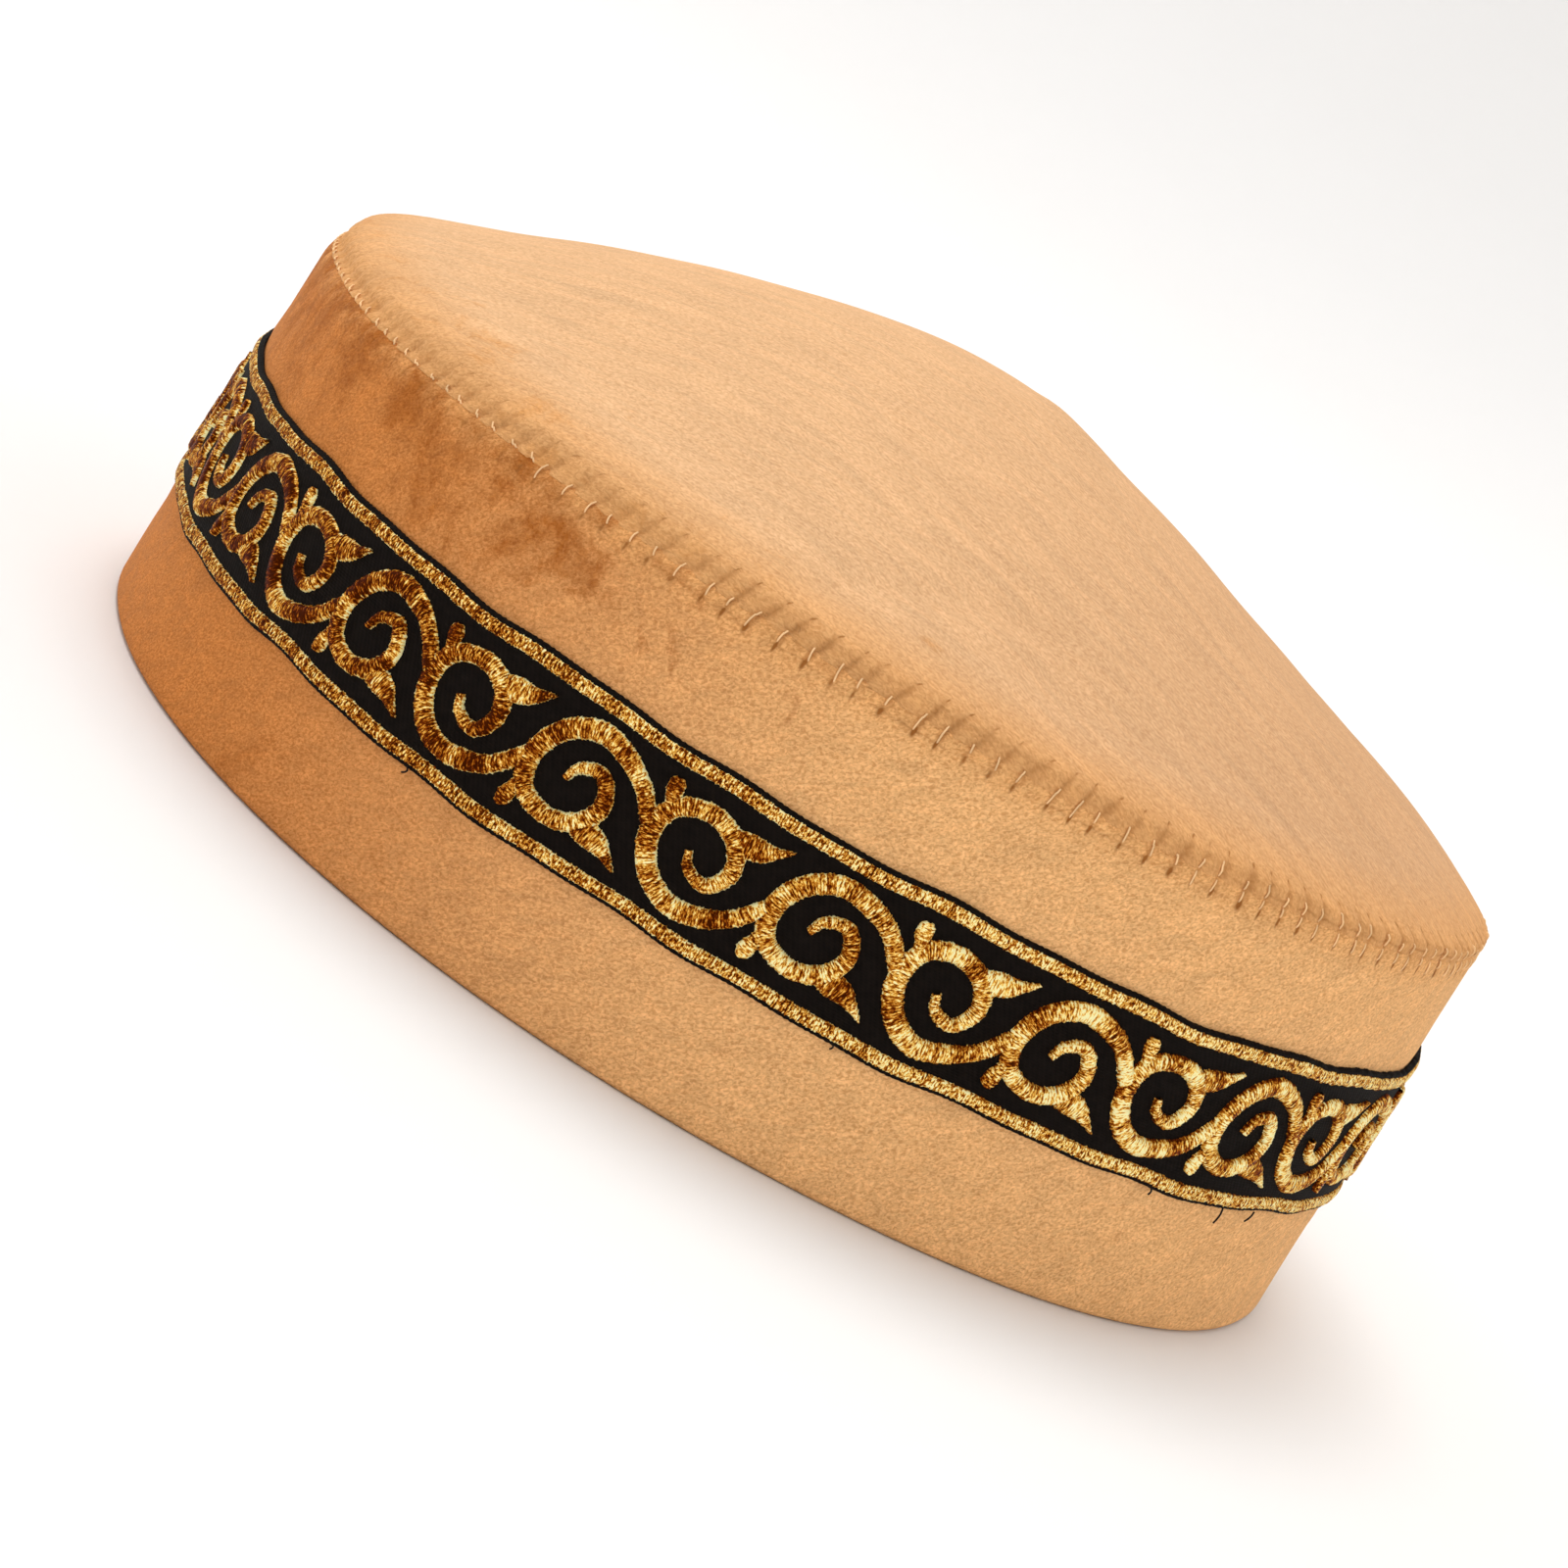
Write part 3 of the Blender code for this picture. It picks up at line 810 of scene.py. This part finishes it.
def satinStrip(bm, maps, centre, breadth, relief, chance):
    # Threads laid side by side across a stroke. Centre is its line on the flat ribbon, with a height and
    # a place along it, and each thread has a dip before it and ends a little short or long
    steps = np.concatenate([[0], np.cumsum(np.linalg.norm(np.diff(centre, axis=0), axis=1))])
    threads = max(3, int(round(steps[-1] / goldLook["pitch"])))
    columns = 2 * threads
    places = np.linspace(0, steps[-1], columns + 1)
    line = np.stack([np.interp(places, steps, centre[:, axis]) for axis in range(2)], axis=-1)
    half = np.interp(places, steps, breadth) / 2
    heading = np.gradient(line, axis=0)
    heading /= np.linalg.norm(heading, axis=1)[:, None]
    beside = np.stack([-heading[:, 1], heading[:, 0]], axis=-1)
    rows = np.array([-1.0, -0.86, -0.52, 0.0, 0.52, 0.86, 1.0])
    made = bmesh.ops.create_grid(bm, x_segments=columns, y_segments=len(rows) - 1, size=0.5)["verts"]
    crest = np.arange(columns + 1) % 2 == 1
    ragged = goldLook["ragged"]
    longer = np.array([[chance.uniform(-1, 1), chance.uniform(-1, 1)] for _ in range(columns + 1)]) * ragged
    tall = np.array([chance.uniform(0.75, 1.15) for _ in range(columns + 1)])
    slant = np.array([chance.uniform(-0.3, 0.3) for _ in range(columns + 1)]) * goldLook["pitch"]
    first = maps["next"]
    for vertex in made:
        column = int(round((vertex.co.x + 0.5) * columns))
        row = int(round((vertex.co.y + 0.5) * (len(rows) - 1)))
        across = rows[row]
        # A thread ends long or short on either side, and the dip beside it always short
        end = longer[column, 0 if across < 0 else 1] if crest[column] else -0.35 * ragged
        end *= abs(across)
        reach = across * half[column] + math.copysign(end, across) * (1 if end >= 0 else -1)
        point = line[column] + beside[column] * reach + heading[column] * slant[column] * across
        dome = max(0.0, 1 - abs(across) ** 2.6) ** 0.5
        ridge = goldLook["ridge"] * tall[column] if crest[column] else 0.0
        out = (relief - goldLook["ridge"]) * dome + ridge * min(1.0, dome * 2.5)
        vertex.co = (point[0], point[1], out)
        vertex[maps["thread"]] = first + column / 2
        vertex[maps["cross"]] = row / (len(rows) - 1)
    maps["next"] = first + threads + 1


def newStrips():
    bm = bmesh.new()
    maps = {name: bm.verts.layers.float.new(name) for name in ("thread", "cross")}
    return bm, {**maps, "next": 0}


def wrappedStrips(name, bm, maps, start, middle, material, node):
    # Lays flat strips on the ribbon: along the girth from start, up from the middle height, out from its face
    mesh = bpy.data.meshes.new(name)
    threads = [(vertex[maps["thread"]], vertex[maps["cross"]]) for vertex in bm.verts]
    bm.to_mesh(mesh)
    bm.free()
    threads = np.array(threads)
    flat = meshPoints(mesh)
    share = (start + flat[:, 0]) / girth
    height = middle + flat[:, 1]
    rise = np.clip((height - capSize["ribbonHeight"]) / capSize["ribbonWidth"], 0, 1)
    out = capSize["ribbonFace"] - goldLook["sink"] + flat[:, 2]
    setMeshPoints(mesh, wallPlace(share, height + ribbonShift(share, rise), out))
    setMap(mesh, "threads", threads[loopVertices(mesh)])
    piece = finishedPiece(name, mesh, material, node)
    turnOut(mesh)
    return piece


def turnOut(mesh):
    # An open strip of thread faces away from the middle of the cap
    if (faceValues(mesh, "normal")[:, :2] * faceValues(mesh, "center")[:, :2]).sum() < 0:
        mesh.flip_normals()


def makeGoldEdge(name, low, material, node, seed):
    bm, maps = newStrips()
    along = np.linspace(0, girth, 400)
    centre = np.stack([along, np.zeros_like(along)], axis=-1)
    breadth = np.full_like(along, goldLook["edgeWidth"])
    satinStrip(bm, maps, centre, breadth, goldLook["edgeRelief"], random.Random(seed))
    return wrappedStrips(name, bm, maps, 0.0, low + goldLook["edgeWidth"] / 2, material, node)


def strokeLine(rows, flip, offset):
    spacing = repeatLength / 2
    margin = goldLook["edgeMargin"] + goldLook["edgeWidth"] + goldLook["scrollClearance"]
    height = capSize["ribbonWidth"] - 2 * margin
    smooth = smoothRows(rows, np.linspace(0, len(rows) - 1, 12 * len(rows)))
    centre = np.stack([(smooth[:, 0] + offset) * spacing, smooth[:, 1] * height * flip], axis=-1)
    return centre, np.maximum(smooth[:, 2], 0.02) * height


def makeScroll(index, material):
    bm, maps = newStrips()
    maps["next"] = index * 900
    chance = random.Random(400 + index)
    strokes = ((leafStroke, "leafRelief"), (budStroke, "budRelief"), (scrollStroke, "scrollRelief"))
    for half, flip in ((0, 1), (1, -1)):
        for rows, relief in strokes:
            centre, breadth = strokeLine(rows, flip, half)
            satinStrip(bm, maps, centre, breadth, goldLook[relief] + goldLook["overlap"] * half, chance)
    name = f"goldScroll_{index + 1:02d}"
    start = (index + capSize["firstBud"]) * repeatLength
    return wrappedStrips(name, bm, maps, start, middleHeight, material, f"scroll_{index + 1:02d}")


stitchLook = {"radius": 0.00012, "rise": 0.00004}
# Legs of one stitch, in millimetres beside its groove and up from the seam: slanting whip stitches on the
# left and at the back, upright ones across the front and long pairs on the right
stitchStyles = {
    "left": (((-0.9, 1.3), (-0.1, 0.5), (0.7, -0.3)),),
    "front": (((0.05, -1.7), (-0.15, -0.8), (-0.35, 0.2), (-0.5, 1.0)),),
    "right": (((-0.3, -2.3), (-0.35, -1.4), (-0.3, -0.5)), ((-0.35, 0.4), (-0.4, 1.4), (-0.35, 2.4))),
}


def tubes(name, lines, radius, material):
    # Thin threads along lines of points, as one mesh
    curve = bpy.data.curves.new(name, "CURVE")
    curve.dimensions = "3D"
    curve.bevel_depth = radius
    curve.bevel_resolution = 1
    curve.use_fill_caps = True
    for line in lines:
        spline = curve.splines.new("POLY")
        spline.points.add(len(line) - 1)
        for point, place in zip(spline.points, line):
            point.co = (*place, 1.0)
    drawn = newObject(name, curve)
    mesh = bpy.data.meshes.new_from_object(drawn.evaluated_get(bpy.context.evaluated_depsgraph_get()))
    bpy.data.objects.remove(drawn)
    mesh.materials.clear()
    return finishedPiece(name, mesh, material, None, weld=1e-6)


def overSeam(share, distance, lift):
    # A point over the seam: distance below 0 is on the band and above 0 on the crown
    if distance <= 0.0002:
        placed = wallPlace(share, capSize["seamHeight"] + distance, lift)
        return softCorner(placed, share, distance - crownLook["turnedEdge"])
    here = crownPlace(share, distance)
    along = crownPlace(share + 0.001, distance) - here
    up = crownPlace(share, distance + 0.0005) - here
    normal = np.cross(along, up)
    normal /= np.linalg.norm(normal)
    return here + normal * lift


def makeStitches(material):
    chance = random.Random(7)
    lines = []
    count = seamPitch["count"]
    for index in range(count):
        share = (index + 0.5 - stitchWander((index + 0.5) / count)) / count
        place = (share + 0.5) % 1.0 - 0.5 + chance.uniform(-0.015, 0.015)
        style = "front" if -0.13 < place < 0.02 else "right" if 0.02 <= place < 0.22 else "left"
        for leg in stitchStyles[style]:
            length = chance.uniform(0.55, 1.15)
            lean = chance.uniform(-0.22, 0.22)
            smooth = smoothRows(leg, np.linspace(0, len(leg) - 1, 8)) / 1000
            line = []
            for part, (along, up) in zip(np.linspace(0, 1, 8), smooth):
                up *= length
                rise = stitchLook["rise"] - 0.0018 * abs(part - 0.5) ** 3
                aside = (along + lean * up) / girth + float(stitchBend(share, up)) / count
                line.append(overSeam(share + aside, float(up), rise))
            lines.append(line)
    return tubes("seamStitches", lines, stitchLook["radius"], material)


endLook = {"radius": 0.00012, "bend": 0.0004, "lift": 0.0009, "droop": 0.0005}
looseEnds = (
    # share, length, sideways, out
    (0.085, 0.0022, -0.0005, 0.0008),
    (0.098, 0.0014, -0.0012, 0.0006),
    (0.060, 0.0010, 0.0002, 0.0007),
    (-0.020, 0.0009, 0.0003, 0.0005),
    (-0.120, 0.0010, -0.0002, 0.0006),
    (0.430, 0.0016, 0.0006, 0.0007),
    (-0.330, 0.0012, -0.0004, 0.0006),
)


def makeLooseEnds(material):
    lines = []
    for share, length, sideways, out in looseEnds:
        low = capSize["ribbonHeight"] + 0.0003
        line = []
        for part in np.linspace(0, 1, 6):
            aside = sideways * part + endLook["bend"] * math.sin(part * math.pi)
            lift = endLook["lift"] + (out - endLook["droop"]) * part
            line.append(wallPlace(share + aside / girth, low - length * part, lift))
        lines.append(line)
    return tubes("looseEnds", lines, endLook["radius"], material)


roomLook = {"floorColour": (0.86, 0.85, 0.84, 1.0), "flatRadius": 1.3, "sweepRadius": 1.6, "wallHeight": 2.6}
lightLook = {
    "skyColour": (1.0, 0.99, 0.98, 1.0),
    "skyStrength": 0.56,
    "lamps": (
        # name, strength, angle, degrees to the right of the camera, height
        ("overhead", 1.9, 40, -150, 74),
        ("front", 2.4, 36, 48, 17),
    ),
}
cameraLook = {
    "target": (0.0, 0.0, 0.0435),
    "distance": 0.5231,
    "height": 0.15306,  # radians above the level, seen from the target
    "turn": 0.34129,
    "pitch": 0.19332,
    "yaw": 0.00139,
    "roll": 0.00264,
    "frameTurn": 32.5,  # degrees that the photograph is turned
    "lens": 3864.7 / 1600 * 36,
}


def makeRoom():
    bm = bmesh.new()
    flatRadius, sweep = roomLook["flatRadius"], roomLook["sweepRadius"]
    points = [(0.0, 0.0), (0.3, 0.0), (flatRadius, 0.0)]
    for turn in np.linspace(0, 90, 13)[1:]:
        bend = math.radians(turn)
        points.append((flatRadius + sweep * math.sin(bend), sweep * (1 - math.cos(bend))))
    points.append((flatRadius + sweep, roomLook["wallHeight"]))
    verts = [bm.verts.new((x, 0.0, z)) for x, z in points]
    edges = [bm.edges.new(pair) for pair in zip(verts, verts[1:])]
    bmesh.ops.spin(
        bm, geom=verts + edges, cent=(0, 0, 0), axis=(0, 0, 1), angle=2 * math.pi, steps=96, use_merge=True
    )
    bmesh.ops.remove_doubles(bm, verts=bm.verts, dist=1e-5)
    bmesh.ops.recalc_face_normals(bm, faces=bm.faces)
    mesh = bpy.data.meshes.new("floor")
    bm.to_mesh(mesh)
    bm.free()
    if sum(polygon.normal.z for polygon in mesh.polygons) < 0:
        mesh.flip_normals()
    mesh.shade_smooth()
    material, tree, shader = newMaterial("paleFloor", {"Roughness": 0.9, "Specular IOR Level": 0.1})
    shader.inputs["Base Color"].default_value = roomLook["floorColour"]
    mesh.materials.append(material)
    floor = newObject("floor", mesh)


def makeLight():
    world = bpy.data.worlds.new("studio")
    world.use_nodes = True
    background = world.node_tree.nodes["Background"]
    background.inputs["Color"].default_value = lightLook["skyColour"]
    background.inputs["Strength"].default_value = lightLook["skyStrength"]
    bpy.context.scene.world = world
    for name, strength, angle, turn, rise in lightLook["lamps"]:
        sun = bpy.data.lights.new(name, "SUN")
        sun.energy = strength
        sun.angle = math.radians(angle)
        lamp = newObject(name, sun)
        azimuth = -math.pi / 2 - cameraLook["turn"] + math.radians(turn)
        level, height = math.cos(math.radians(rise)), math.sin(math.radians(rise))
        toward = Vector((math.cos(azimuth) * level, math.sin(azimuth) * level, height))
        lamp.rotation_euler = toward.to_track_quat("Z", "Y").to_euler()


def makeCamera():
    look = cameraLook
    right = Vector((math.cos(look["turn"]), -math.sin(look["turn"]), 0))
    ahead = Vector((math.sin(look["turn"]), math.cos(look["turn"]), 0))
    up = Vector((0, 0, 1))
    place = Vector(look["target"]) - ahead * look["distance"] * math.cos(look["height"])
    place += up * look["distance"] * math.sin(look["height"])
    right, ahead = (
        right * math.cos(look["yaw"]) - ahead * math.sin(look["yaw"]),
        right * math.sin(look["yaw"]) + ahead * math.cos(look["yaw"]),
    )
    view = ahead * math.cos(look["pitch"]) - up * math.sin(look["pitch"])
    up = ahead * math.sin(look["pitch"]) + up * math.cos(look["pitch"])
    roll = math.radians(look["frameTurn"])
    for turn in (-look["roll"], roll):
        right, up = right * math.cos(turn) + up * math.sin(turn), up * math.cos(turn) - right * math.sin(turn)
    lens = bpy.data.cameras.new("photoCamera")
    lens.sensor_fit = "HORIZONTAL"
    lens.sensor_width = 36
    lens.lens = look["lens"]
    lens.clip_start = 0.01
    camera = newObject("photoCamera", lens)
    camera.matrix_world = Matrix.Translation(place) @ Matrix((right, up, -view)).transposed().to_4x4()
    bpy.context.scene.camera = camera


crownVelvetLook = {
    # Painted shade on the crown's right and painted light on its left, as the lamps fall
    "colour": (0.61, 0.350, 0.178, 1.0),
    "leftShadingColour": (0.72, 0.435, 0.228, 1.0),
    "leftFrom": 0.075,  # metres to the right of the middle, as the photograph shows it
    "leftTo": -0.030,
    # Painted light on the crown's turned edge over the seam, which the lamps light weakly
    "edgeColour": (0.68, 0.340, 0.125, 1.0),
    "edgeReach": (0.0020, 0.0140),
    "edgeShare": 0.9,
    "patchColour": (0.64, 0.295, 0.092, 1.0),
    "patchSize": 0.010,
    "patchShare": 0.05,
    "leftPatches": 0.17,
    "patchHeights": (0.067, 0.059),  # from none to full
    # Painted shade in the stitch grooves, needle holes and fold along the seam
    "creaseShadeColour": (0.42, 0.175, 0.050, 1.0),
    "turn": 0.6,
    "rib": (1500.0, 2600.0, 1.0),
    "streak": (70.0, 320.0, 1.0),
    "mottle": 0.09,
    "grain": 0.12,
    "bump": 0.6,
    "sheen": 0.03,
    "sheenTint": (1.0, 0.80, 0.60, 1.0),
    "reach": 0.0046,
    "holeRow": 0.0040,
    "holeSize": 0.00045,
    "foldRow": 0.0008,
    "foldFrom": 0.1,
    "foldTo": 0.4,
    "grooveShade": 0.60,
    "foldShade": 0.7,
    "puckerBump": 0.4,
}
bandVelvetLook = {
    # The band's left colour is darker and warmer: partly painted shade, partly brushed pile
    "colour": (0.80, 0.445, 0.188, 1.0),
    "leftShadingColour": (0.56, 0.205, 0.050, 1.0),
    "leftFrom": 0.022,
    "leftTo": -0.072,
    "edgeColour": (0.72, 0.360, 0.130, 1.0),
    "edgeReach": (-0.0006, -0.0045),
    "edgeShare": 0.7,
    "patchColour": (0.40, 0.128, 0.024, 1.0),
    "patchSize": 0.009,
    "patchShare": 0.11,
    "leftPatches": 0.25,
    "patchHeights": (0.032, 0.050),
    # Painted shade in the stitch grooves, needle holes and fold along the seam
    "creaseShadeColour": (0.32, 0.115, 0.026, 1.0),
    "turn": -0.5,
    "rib": (2000.0, 2900.0, 1.0),
    "streak": (220.0, 420.0, 1.0),
    "mottle": 0.11,
    "grain": 0.19,
    "bump": 0.45,
    "sheen": 0.03,
    "sheenTint": (1.0, 0.80, 0.58, 1.0),
    "reach": 0.0028,
    "holeRow": -0.0021,
    "holeSize": 0.0007,
    "foldRow": -0.0019,
    "foldFrom": 0.5,
    "foldTo": 0.1,
    "grooveShade": 0.50,
    "foldShade": 0.40,
    "puckerBump": 0.4,
}
goldShadingRamp = (
    # shade, colour, from painted dark reflection up to painted highlight
    (0.0, (0.050, 0.008, 0.0005)),
    (0.25, (0.22, 0.036, 0.002)),
    (0.45, (0.46, 0.150, 0.010)),
    (0.65, (0.84, 0.410, 0.055)),
    (0.82, (1.0, 0.720, 0.180)),
    (1.0, (1.0, 0.930, 0.500)),
)
scrollGoldLook = {
    # The gold's shading is painted: darker flats on the left, highlights on the rims, glints by thread
    "leftFrom": 0.062,
    "leftTo": -0.070,
    "metallic": 0.2,
    "gleam": (0.75, 0.38, 0.07, 1.0),
    "base": 0.74,
    "leftDarkening": 0.46,
    "run": 15.0,  # threads to a patch
    "patch": 0.58,
    "speckle": 0.60,
    "rim": 0.48,
    "colours": goldShadingRamp,
}
edgeGoldLook = {
    **scrollGoldLook,
    # The gold edges get the same painted reflections, highlights and glints, with finer speckle
    "base": 0.72,
    "leftDarkening": 0.30,
    "run": 9.0,
    "patch": 0.22,
    "speckle": 0.72,
    "rim": 0.36,
}
blackLook = {
    "dark": (0.0025, 0.0016, 0.0012, 1.0),
    "light": (0.0095, 0.0062, 0.0045, 1.0),
    "twill": 0.0007,
    "weft": 0.00035,
}

print("materials")
crownVelvet = velvetMaterial("crownVelvet", crownVelvetLook)
bandVelvet = velvetMaterial("bandVelvet", bandVelvetLook)
scrollGold = goldMaterial("scrollGold", scrollGoldLook)
edgeGold = goldMaterial("edgeGold", edgeGoldLook)
blackRibbon = ribbonMaterial("blackRibbon", blackLook)
tanThread = threadMaterial("tanThread", (0.92, 0.60, 0.31))
blackThread = threadMaterial("blackThread", (0.012, 0.009, 0.008))

print("velvet")
makeCrown(crownVelvet)
makeBand(bandVelvet)
print("ribbon")
makeRibbon(blackRibbon)
print("gold embroidery")
lowEdge = capSize["ribbonHeight"] + goldLook["edgeMargin"]
highEdge = capSize["ribbonHeight"] + capSize["ribbonWidth"] - goldLook["edgeMargin"] - goldLook["edgeWidth"]
makeGoldEdge("lowerGoldEdge", lowEdge, edgeGold, "lower_gold_edge", 11)
makeGoldEdge("upperGoldEdge", highEdge, edgeGold, "upper_gold_edge", 12)
for scrollIndex in range(capSize["repeats"]):
    makeScroll(scrollIndex, scrollGold)
print("stitches")
makeStitches(tanThread)
makeLooseEnds(blackThread)
print("room, light and camera")
makeRoom()
makeLight()
makeCamera()
bpy.context.scene.view_settings.view_transform = "Standard"
